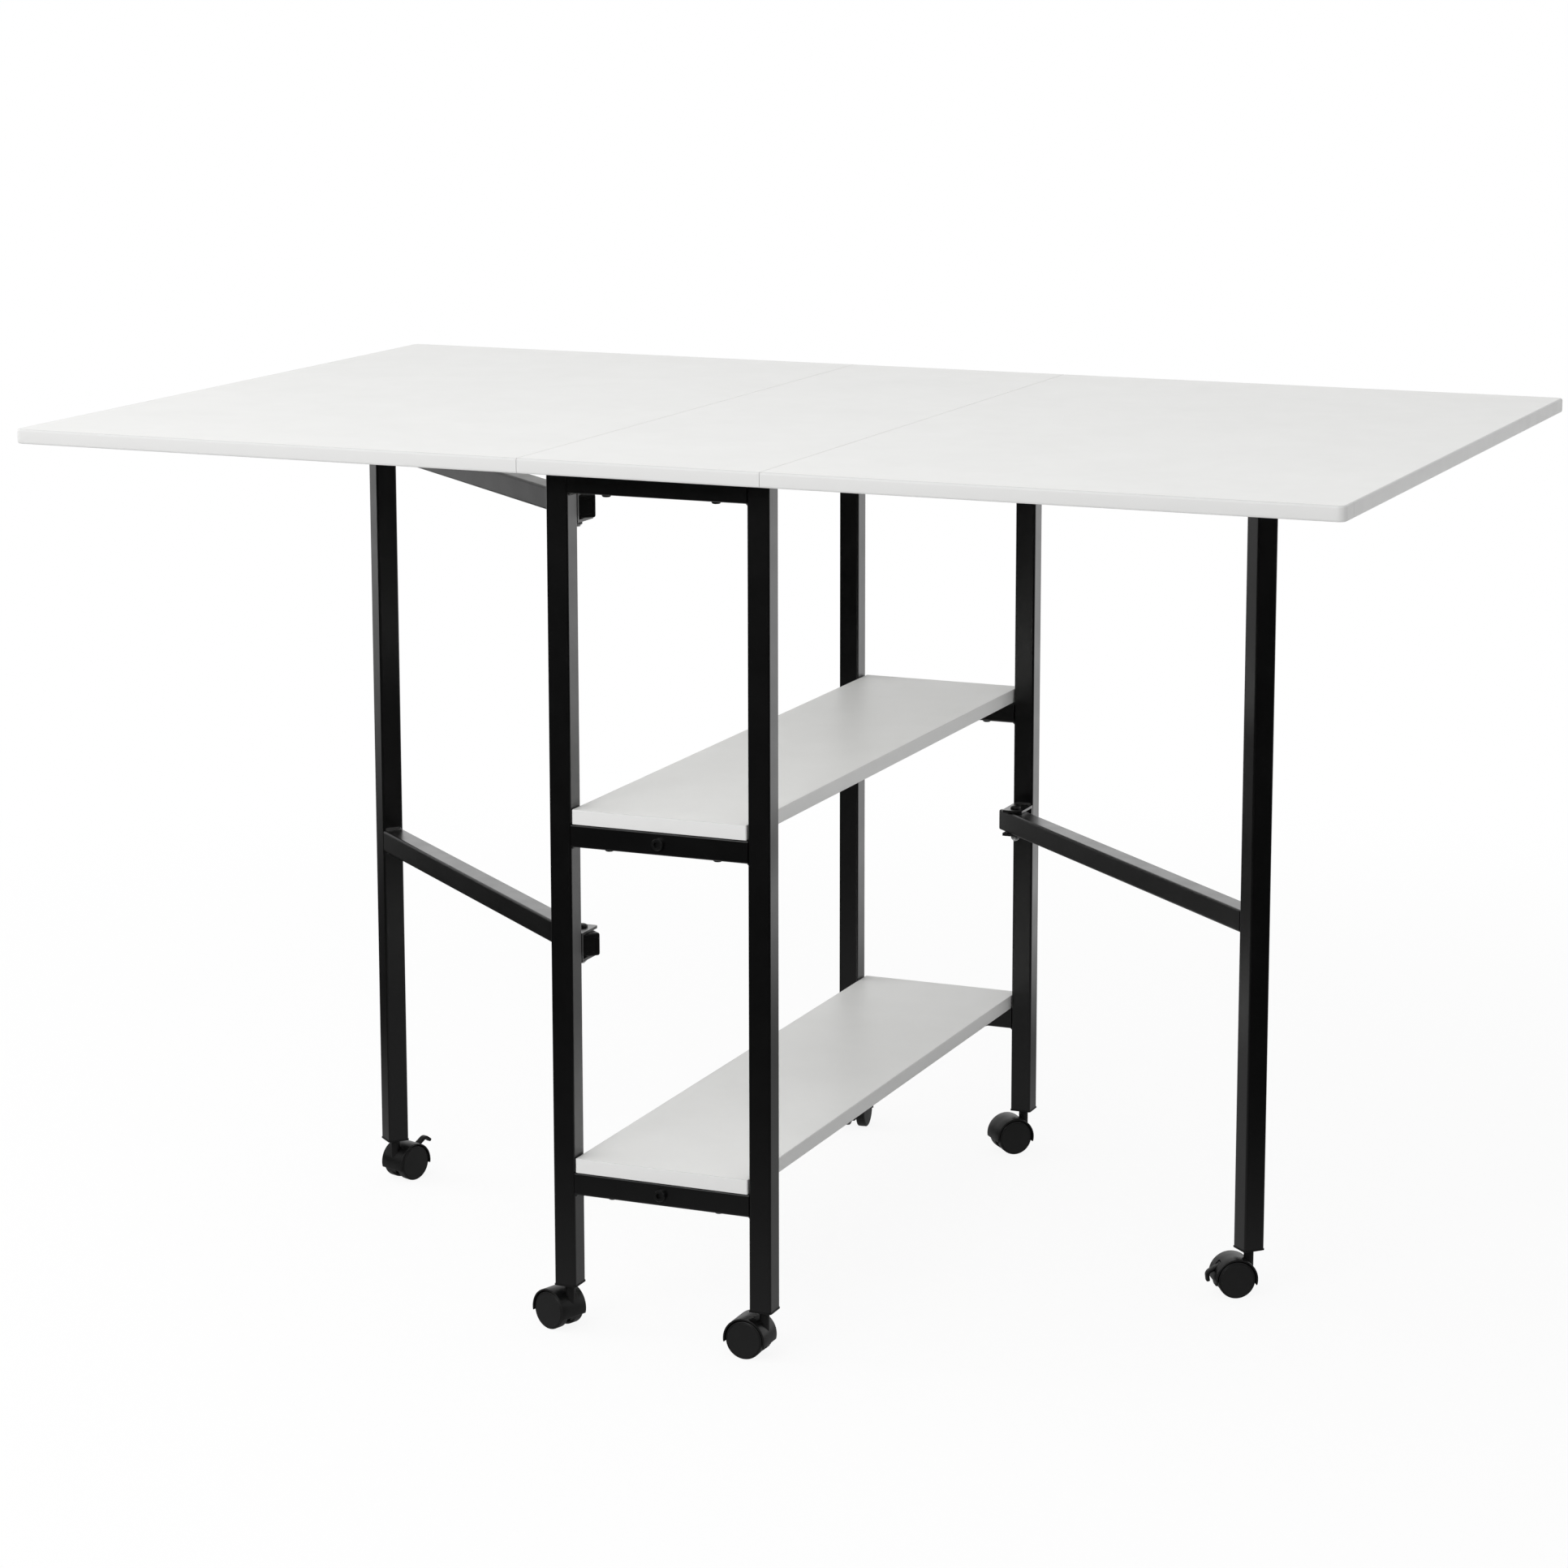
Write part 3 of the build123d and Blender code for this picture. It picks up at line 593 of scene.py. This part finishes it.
def leverSurface(lever):
    # A rounded bar carried along a hooked path: the path is the running sum of steps whose
    # heading turns down at the bend; place(i, j) = path i + thickness and width of side j.
    # Ridges for grip run across the bend, and the bar thins out over a rounded tip.
    run = np.linspace(0, lever["arm"] + lever["bendRun"] + lever["tip"], lever["rows"])
    turned = np.clip((run - lever["arm"]) / lever["bendRun"], 0, 1)
    heading = np.radians(-lever["hook"] * turned)
    stride = np.gradient(run)
    x, z = (np.concatenate(([0], np.cumsum((part * stride)[:-1])))[:, None]
            for part in (np.cos(heading), np.sin(heading)))
    heading = heading[:, None]
    side = fullTurn(lever["sides"])
    flat, wide = (np.sign(wave) * np.abs(wave) ** lever["squareness"]
                  for wave in (np.sin(side), np.cos(side)))
    ending = np.clip((run - run[-1] + lever["tipRound"]) / lever["tipRound"], 0, 1)
    fullness = np.sqrt(1 - ending ** 2)[:, None]
    thin = lever["tipThin"]
    thick = lever["thick"] / 2 * (thin + (1 - thin) * fullness) * fullness ** lever["tipBlunt"]
    gripStart = lever["arm"] - lever["gripBack"]
    gripShare = np.clip((run - gripStart) / lever["gripRun"], 0, 1)[:, None]
    ridges = lever["ridgeDepth"] * np.sin(gripShare * lever["ridges"] * np.pi) ** 2
    onTop = flat > 0.6
    lift = flat * thick - onTop * ridges
    spread = wide * lever["width"] / 2 * np.sqrt(fullness)
    points = gridPoints(x - np.sin(heading) * lift, spread, z + np.cos(heading) * lift)
    return points, [gridFaces(len(run), len(side), ring=True), np.arange(len(side))[None, :]]


def makeBrakeLever(name, label, axle, along):
    # the hooked lever and its hub on the pin, tilted to where the brake stands at rest
    lever = {"arm": 14.0, "bendRun": 6.1, "tip": 7.1, "hook": 69.5, "thick": 4.2, "width": 8.0,
             "squareness": 0.45, "tipRound": 1.6, "tipThin": 0.55, "tipBlunt": 0.3, "gripBack": 5.0,
             "gripRun": 9.0, "ridges": 10, "ridgeDepth": 0.3, "raised": 32.0, "rows": 61, "sides": 24}
    hub = {"radius": 3.0, "half": 4.0, "round": 0.4}
    lowest = min(joints[f"{name}_brake_press"]["range_deg"])
    tilt = radians(lever["raised"] + lowest)
    out, over = np.array(((np.cos(tilt), 0.0, np.sin(tilt)), (-np.sin(tilt), 0.0, np.cos(tilt))))
    radius, half, soft = hub["radius"] - hub["round"], hub["half"] - hub["round"], hub["round"]
    barrel = crosswise(lathe(np.vstack(([(0, -hub["half"])], arc((radius, -half), soft, 270, 360, 3),
                                        arc((radius, half), soft, 0, 90, 3), [(0, hub["half"])])), 32))
    tilted = [placed(surface, pinPlace(), out, over) for surface in (leverSurface(lever), barrel)]
    makePiece(f"{label}BrakeLever", [placed(surface, axle, along) for surface in tilted],
              f"{name}_brake", "black_plastic", [f"{name}_brake_lever"], sharpAngle=40)


for name in ("front_left", "front_right", "back_left", "back_right", "left_gate", "right_gate"):
    stem, axle = jointPlace(f"{name}_caster_swivel"), jointPlace(f"{name}_wheels_roll")
    along = levelDirection(stem, axle)
    firstWord, secondWord = name.split("_")
    label = firstWord + secondWord.title()
    makeHood(name, label, stem, axle, along)
    makeWheels(name, label, axle, along)
    if f"{name}_brake_press" in joints:
        makeBrakeLever(name, label, axle, along)
print("casters: six hoods, six pairs of wheels and two brake levers")


# fasteners, caps and welds

railLow, railHigh = boxOf("front_top_rail")
halfTube = (railHigh[2] - railLow[2]) / 2
clevisHalf = 16.0                       # from the middle of a gate's rail to the outside of its clevis


def hexNut(nut):
    # Wall: place(i, j) = the lesser of the hexagon's reach at angle j and a cone's at height i.
    # Under it a round collar closes on the bolt.
    flat, tall, chamfer = nut["acrossFlats"] / 2, nut["height"], nut["chamfer"]
    collar, soft, foot = nut["collar"], nut["collarRound"], nut["height"] + nut["collarHeight"]
    angle, sixth = fullTurn(nut["sides"]), np.pi / 3
    hexagon = flat / np.cos((angle + sixth / 2) % sixth - sixth / 2)
    height = np.array((0.0, chamfer / 2, chamfer, tall - chamfer, tall - chamfer / 2, tall))
    fromEnd = np.minimum(height, tall - height)
    cone = flat * nut["coneFoot"] + nut["coneSlope"] * fromEnd
    wall = np.minimum(hexagon, cone[:, None])
    under = np.vstack(([(collar, tall)], arc((collar - soft, foot - soft), soft, 0, 90, 4),
                       [(nut["bore"], foot)]))
    bore = np.full((1, len(angle)), nut["bore"])
    reach = np.vstack((bore, wall, np.repeat(under[:, :1], len(angle), axis=1)))
    depth = np.concatenate(((0.0,), height, under[:, 1]))[:, None]
    points = gridPoints(reach * np.cos(angle), reach * np.sin(angle), -depth)
    return points, [gridFaces(len(depth), len(angle), ring=True)]


def threadedEnd(thread):
    # place(i, j) = the radius less a triangle wave of height i over the pitch less angle j, at
    # height i, drawn in to the axis over a short point
    drop = np.linspace(0, thread["length"], thread["rows"])
    angle = fullTurn(thread["sides"])
    wave = (drop[:, None] / thread["pitch"] - angle / (2 * np.pi)) % 1.0
    reach = thread["radius"] - thread["depth"] * np.abs(2 * wave - 1)
    reach = np.minimum(reach, thread["radius"] - thread["point"] + (thread["length"] - drop)[:, None])
    reach = np.vstack((reach, np.zeros((1, len(angle)))))
    drop = np.append(drop, thread["length"])[:, None]
    points = gridPoints(reach * np.cos(angle), reach * np.sin(angle), -drop)
    end = np.arange(len(angle))[None, :]
    return points, [gridFaces(len(drop), len(angle), ring=True), end]


def panHead(screw):
    # A square grid drawn out to a disc: x = u sqrt(1 - v v / 2), y = v sqrt(1 - u u / 2).
    # Height = a flat-topped dome of the radius, less a cross wherever u and v lie within its arms.
    half, arm, slope = screw["crossWidth"] / 2, screw["crossReach"], 0.05
    line = np.concatenate((np.linspace(arm + slope, 1, 5),
                           (arm, (half + slope + arm) / 2, half + slope, half)))
    line = np.sort(np.concatenate((-line, line, (0.0,))))
    u, v = np.meshgrid(line, line, indexing="ij")
    x, y = u * np.sqrt(1 - v * v / 2), v * np.sqrt(1 - u * u / 2)
    radius = np.sqrt(np.clip(x * x + y * y, 0, 1))
    rise = np.sqrt(np.clip(1 - radius ** 6, 0, 1))
    inArm = (np.minimum(abs(u), abs(v)) <= half + 1e-6) & (np.maximum(abs(u), abs(v)) <= arm + 1e-6)
    depth = screw["height"] * rise - screw["crossDepth"] * inArm
    points = gridPoints(x * screw["radius"], y * screw["radius"], depth)
    count = len(line)
    grid = np.arange(count * count).reshape(count, count)
    rim = np.concatenate((grid[0, :], grid[1:, -1], grid[-1, -2::-1], grid[-2:0:-1, 0]))[None, :]
    return points, [gridFaces(count, count), rim]


def weldBead(middle, along, overFirst, overSecond, bead):
    # A hollow fillet in the corner of two faces: place(i, j) = point i of the corner line + the
    # reach of direction j, rippled along the line and drawn in at both ends.
    share = np.linspace(0, 1, bead["rows"])[:, None]
    turn = np.radians(np.linspace(0, 90, bead["sides"]))
    hollow = bead["leg"] / (np.cos(turn) + np.sin(turn)) ** bead["hollow"]
    bow = bead["bow"] * (turn / np.pi - 0.25) ** 2
    ripple = 1 + bead["ripple"] * np.cos(2 * np.pi * (share * bead["length"] / bead["pitch"] - bow))
    ends = np.sqrt(np.clip(1 - np.abs(2 * share - 1) ** bead["blunt"], 0, 1))
    reach = (hollow * ripple * ends)[..., None]
    line = middle + (share - 0.5) * bead["length"] * along
    way = np.cos(turn)[:, None] * overFirst + np.sin(turn)[:, None] * overSecond
    crown = line[:, None] + reach * way
    sunk = line[:, None] - bead["sunk"] * ends[..., None] * (overFirst + overSecond)
    points = np.concatenate((crown, sunk), axis=1).reshape(-1, 3)
    return points, [gridFaces(len(share), len(turn) + 1, ring=True)]


def beadOf(leg, length):
    # a bead's leg and length, with the ripples, hollow and blunt ends that all of them have
    return {"leg": leg, "length": length, "pitch": 1.7, "ripple": 0.05, "bow": 2.0, "hollow": 1.2,
            "blunt": 12, "sunk": 0.2, "rows": 65, "sides": 9}


def gatePlaces(side):
    # a gate's pivot line and leg over the floor, and the way from one to the other
    pivot = jointPlace(f"{side}_gate_swing") * (1, 1, 0)
    leg = middleOf(f"{side}_gate_leg") * (1, 1, 0)
    return pivot, leg, levelDirection(pivot, leg)


def railHeights(side):
    return [middleOf(f"{side}_gate_{level}_rail")[2] * upward for level in ("top", "middle")]


def makeRailCaps(side):
    # the cap's edge, rounded outward and stepped round a flat field, carried round a square
    cap = {"size": 25.0, "thick": 3.5, "round": 1.8, "field": 4.2, "groove": 0.35, "corner": 2.5,
           "under": 4.0, "middle": 2.0, "overhang": 19.5}     # overhang: the pivot to the cap's outside
    pivot, _, along = gatePlaces(side)
    half, thick, soft, field, groove = (cap["size"] / 2, cap["thick"], cap["round"], cap["field"],
                                        cap["groove"])
    profile = np.vstack((
        [(cap["under"], 0.0), (0.0, 0.0)],
        arc((soft, thick - soft), soft, 180, 90),
        [(field, thick), (field + groove, thick - groove), (field + 2 * groove, thick),
         (field + cap["middle"], thick)]))
    columns = rectangleColumns((-half, -half), (half, half), 6)
    points = carriedEdge(profile, columns, cap["corner"], 0.0)
    surface = points, closedFaces(len(profile), len(columns[0]))
    foot = pivot - along * (cap["overhang"] - thick)
    makePiece(f"{side}GateRailCaps",
              [placed(surface, foot + height, np.cross(upward, along), -along)
               for height in railHeights(side)],
              f"{side}_gate", "black_plastic", [f"{side}_gate_rail_caps"])


def makeGateWelds(side):
    # a bead above and below each rail, where it meets the leg
    bead = beadOf(3.2, 20.0)
    _, leg, along = gatePlaces(side)
    face, sideways = leg - along * halfTube, np.cross(upward, along)
    beads = [weldBead(face + height + sign * halfTube * upward, sideways, -along, sign * upward, bead)
             for height in railHeights(side) for sign in (-1.0, 1.0)]
    makePiece(f"{side}GateWelds", beads, f"{side}_gate", "black_tube")


def makePivots():
    # domed bolt heads over the clevises, and lock nuts under them with the threads' ends
    bolt = {"radius": 6.25, "rise": 4.0, "rim": 1.2, "edge": 0.3}
    nut = {"acrossFlats": 10.0, "height": 5.0, "chamfer": 0.7, "coneFoot": 0.98, "coneSlope": 1.73,
           "collar": 4.25, "collarHeight": 1.2, "collarRound": 0.5, "bore": 2.9, "sides": 72}
    thread = {"radius": 3.0, "depth": 0.32, "pitch": 1.0, "length": 2.7, "point": 0.55, "inNut": 1.2,
              "rows": 37, "sides": 32}
    radius, edge = bolt["radius"], bolt["edge"]
    turn = np.linspace(0, np.pi / 2, 9)
    dome = np.stack((radius * np.cos(turn),
                     bolt["rim"] + (bolt["rise"] - bolt["rim"]) * np.sin(turn)), axis=1)
    head = lathe(np.vstack(([(0, 0), (radius - edge, 0), (radius, edge)], dome)), 40)
    threadTop = nut["height"] + nut["collarHeight"] - thread["inNut"]
    heads, nuts = [], []
    for side in ("left", "right"):
        pivot, _, along = gatePlaces(side)
        for height in railHeights(side):
            under = pivot + height - clevisHalf * upward
            heads.append(placed(head, pivot + height + clevisHalf * upward, along))
            nuts += [placed(hexNut(nut), under, along),
                     placed(threadedEnd(thread), under - threadTop * upward, along)]
    makePiece("gatePivotBoltHeads", heads, "shelf_unit", "black_steel", ["gate_pivot_bolts"])
    makePiece("gatePivotNuts", nuts, "shelf_unit", "zinc_steel", ["gate_pivot_nuts"])


def makeClevisWelds():
    # a bead over the upper plate and under the lower plate of each clevis
    bead = beadOf(2.4, 21.0)
    beads = []
    for side, legNode, outward in (("left", "front_left_leg", 1.0), ("right", "back_right_leg", -1.0)):
        face = middleOf(legNode) * (1, 1, 0) + (0, outward * halfTube, 0)
        for height in railHeights(side):
            beads += [weldBead(face + height + sign * clevisHalf * upward, alongX,
                               np.array((0, outward, 0)), sign * upward, bead) for sign in (-1.0, 1.0)]
    makePiece("clevisWelds", beads, "shelf_unit", "black_tube")


def makeRailFittings():
    # welds under the ends of the unit's rails, and the screws that go up through them
    bead = beadOf(3.4, 20.0)
    screw = {"radius": 5.2, "height": 3.4, "crossWidth": 0.2, "crossReach": 0.55, "crossDepth": 1.3,
             "fromMiddle": 62.5}
    welds, heads = [], []
    for end in ("front", "back"):
        for level in ("top", "upper_shelf", "lower_shelf"):
            low, high = boxOf(f"{end}_{level}_rail")
            middle = (low[1] + high[1]) / 2
            for sign, corner in ((-1.0, low[0]), (1.0, high[0])):
                welds.append(weldBead(np.array((corner, middle, low[2])), np.array((0, 1.0, 0)),
                                      -sign * alongX, -upward, bead))
                heads.append(placed(panHead(screw), (sign * screw["fromMiddle"], middle, low[2]),
                                    alongX, -upward))
    makePiece("unitWelds", welds, "shelf_unit", "black_tube")
    makePiece("railScrewHeads", heads, "shelf_unit", "black_steel")


def makeHingeScrews():
    # four screws under each of the six hinges, two on either side of its seam
    screw = {"radius": 3.25, "height": 1.4, "crossWidth": 0.22, "crossReach": 0.6, "crossDepth": 0.8}
    hinge = {"along": 19.0, "across": 17.0, "plate": 1.5, "halfLength": 30.0}
    firstTurn, nextTurn = 11, 37            # degrees, so that no two crosses stand alike
    spacing = boxOf("left_leaf_hinge_halves")[1][1] - hinge["halfLength"]
    under = boxOf("left_leaf")[0][2] - hinge["plate"]
    fixed = []
    for side, sign in (("left", -1.0), ("right", 1.0)):
        seam = jointPlace(f"{side}_leaf_lift")[0]
        moving = []
        for y in [spacing * step + hinge["along"] * way for step in (-1, 0, 1) for way in (-1, 1)]:
            for heads, out in ((moving, sign), (fixed, -sign)):
                turn = radians(nextTurn * len(heads) + firstTurn)
                heads.append(placed(panHead(screw), (seam + out * hinge["across"], y, under),
                                    np.array((np.cos(turn), np.sin(turn), 0)), -upward))
        makePiece(f"{side}LeafHingeScrews", moving, f"{side}_leaf", "zinc_steel")
    makePiece("centreHingeScrews", fixed, "shelf_unit", "zinc_steel")


for side in ("left", "right"):
    makeRailCaps(side)
    makeGateWelds(side)
makePivots()
makeClevisWelds()
makeRailFittings()
makeHingeScrews()
print("fittings: bolts, nuts, caps, screws and welds")


# floor, light and camera

def makeStage():
    # The floor keeps the table's shadow near it and fades into the background further out.
    # Gloss mirrors it pale behind the table, grey close to it and dark further in front.
    stage = {"floorColor": 0.9, "floorSize": 16.0, "glowNear": 0.9, "nearRadius": 1.1, "farRadius": 2.6,
             "mirrorFront": 0.02, "mirrorBehind": 1.0, "mirrorFrom": 0.6, "mirrorTo": 1.8,
             "mirrorClose": 0.3, "closeFrom": 0.4, "closeTo": 1.4}
    material = bpy.data.materials.new("paleFloor")
    material.use_nodes = True
    tree = material.node_tree
    tree.nodes.clear()
    place = addNode(tree, "ShaderNodeTexCoord").outputs["Object"]
    away = addNode(tree, "ShaderNodeVectorMath", {0: place}, operation="LENGTH").outputs["Value"]
    depth = addNode(tree, "ShaderNodeSeparateXYZ", {0: place}).outputs["Y"]
    fade = mapRange(tree, away, stage["nearRadius"], stage["farRadius"], stage["glowNear"], 1.0,
                    smooth=True)
    behind = mapRange(tree, depth, stage["mirrorFrom"], stage["mirrorTo"],
                      stage["mirrorFront"], stage["mirrorBehind"], smooth=True)
    close = mapRange(tree, away, stage["closeFrom"], stage["closeTo"], stage["mirrorClose"], 0.0,
                     smooth=True)
    paler = addNode(tree, "ShaderNodeMath", {0: behind, 1: close}, operation="MAXIMUM")
    rays = addNode(tree, "ShaderNodeLightPath")
    strength = mixValue(tree, rays.outputs["Is Glossy Ray"], 1.0, paler.outputs[0])
    share = addNode(tree, "ShaderNodeMath", {0: rays.outputs["Is Camera Ray"], 1: fade,
                                             2: rays.outputs["Is Glossy Ray"]}, operation="MULTIPLY_ADD")
    matte = addNode(tree, "ShaderNodeBsdfDiffuse", {"Color": (stage["floorColor"],) * 3 + (1.0,)})
    glow = addNode(tree, "ShaderNodeEmission", {"Color": (1.0, 1.0, 1.0, 1.0), "Strength": strength})
    mixed = addNode(tree, "ShaderNodeMixShader", {
        0: share.outputs[0], 1: matte.outputs[0], 2: glow.outputs[0]})
    addNode(tree, "ShaderNodeOutputMaterial", {"Surface": mixed.outputs[0]})
    half = stage["floorSize"] / 2
    corners = [(-half, -half, 0), (half, -half, 0), (half, half, 0), (-half, half, 0)]
    mesh = bpy.data.meshes.new("floor")
    mesh.from_pydata(corners, [], [(0, 1, 2, 3)])
    mesh.materials.append(material)
    floor = bpy.data.objects.new("floor", mesh)
    bpy.context.scene.collection.objects.link(floor)


def makeWorld():
    # Soft light from all round is stronger on the left. Gloss mirrors a room that is dark low in
    # front of the table, pale behind it and higher up, and dimmer overhead.
    sky = {"left": 0.88, "right": 0.45, "behind": 1.0, "front": 0.02, "turnFrom": 0.15, "turnTo": 0.75,
           "raised": 0.6, "raisedFrom": 0.09, "raisedTo": 0.34,
           "above": 0.3, "highFrom": 0.3, "highTo": 0.8}
    world = bpy.data.worlds.new("studio")
    bpy.context.scene.world = world
    world.use_nodes = True
    tree = world.node_tree
    tree.nodes.clear()
    place = addNode(tree, "ShaderNodeTexCoord").outputs["Generated"]
    x, y, z = addNode(tree, "ShaderNodeSeparateXYZ", {0: place}).outputs
    ambient = mapRange(tree, x, -1.0, 1.0, sky["left"], sky["right"])
    turn = mapRange(tree, y, sky["turnFrom"], sky["turnTo"], sky["front"], sky["behind"], smooth=True)
    lift = mapRange(tree, z, sky["raisedFrom"], sky["raisedTo"], 0.0, sky["raised"], smooth=True)
    dim = mapRange(tree, z, sky["highFrom"], sky["highTo"], 1.0, sky["above"], smooth=True)
    paler = addNode(tree, "ShaderNodeMath", {0: turn, 1: lift}, operation="MAXIMUM")
    room = addNode(tree, "ShaderNodeMath", {0: paler.outputs[0], 1: dim}, operation="MULTIPLY")
    rays = addNode(tree, "ShaderNodeLightPath")
    mirrored = mixValue(tree, rays.outputs["Is Glossy Ray"], ambient, room.outputs[0])
    shown = mixValue(tree, rays.outputs["Is Camera Ray"], mirrored, 1.0)
    glow = addNode(tree, "ShaderNodeBackground", {"Color": (1.0, 1.0, 1.0, 1.0), "Strength": shown})
    addNode(tree, "ShaderNodeOutputWorld", {"Surface": glow.outputs[0]})


def addSoftbox(name, place, aim, size, power, glint):
    # an area lamp turned to its aim, and mirrored in gloss only where glint says so
    light = bpy.data.lights.new(name, "AREA")
    light.shape, light.energy = "RECTANGLE", power
    light.size, light.size_y = size
    box = bpy.data.objects.new(name, light)
    bpy.context.scene.collection.objects.link(box)
    box.location = place
    box.rotation_euler = (Vector(aim) - Vector(place)).to_track_quat("-Z", "Y").to_euler()
    box.visible_glossy = glint


def makeCamera():
    shot = {"place": (1.8137, -4.3306, 1.5469), "aim": (0.0045, 0.0, 0.6786), "lens": 96.86,
            "shift": (-0.02, -0.08)}
    camera = bpy.data.objects.new("camera", bpy.data.cameras.new("camera"))
    bpy.context.scene.collection.objects.link(camera)
    camera.location = shot["place"]
    aim = Vector(shot["aim"]) - Vector(shot["place"])
    camera.rotation_euler = aim.to_track_quat("-Z", "Y").to_euler()
    camera.data.lens = shot["lens"]
    camera.data.shift_x, camera.data.shift_y = shot["shift"]
    bpy.context.scene.camera = camera


softboxes = {
    "overheadSoftbox": {"place": (-0.9, -1.4, 3.4), "aim": (0.0, 0.0, 0.9), "size": (3.0, 3.0),
                        "power": 23.0, "glint": False},
    "frontSoftbox": {"place": (-0.6, -4.0, 2.9), "aim": (0.0, 0.0, 0.6), "size": (2.4, 1.8),
                     "power": 52.0, "glint": True},
    "leftSoftbox": {"place": (-3.6, -0.6, 1.7), "aim": (0.0, 0.0, 0.4), "size": (2.0, 1.2),
                    "power": 32.0, "glint": False},
}
makeStage()
makeWorld()
for name, settings in softboxes.items():
    addSoftbox(name, **settings)
makeCamera()
bpy.context.scene.view_settings.view_transform = "Standard"
print("stage: floor, world, three softboxes and camera")
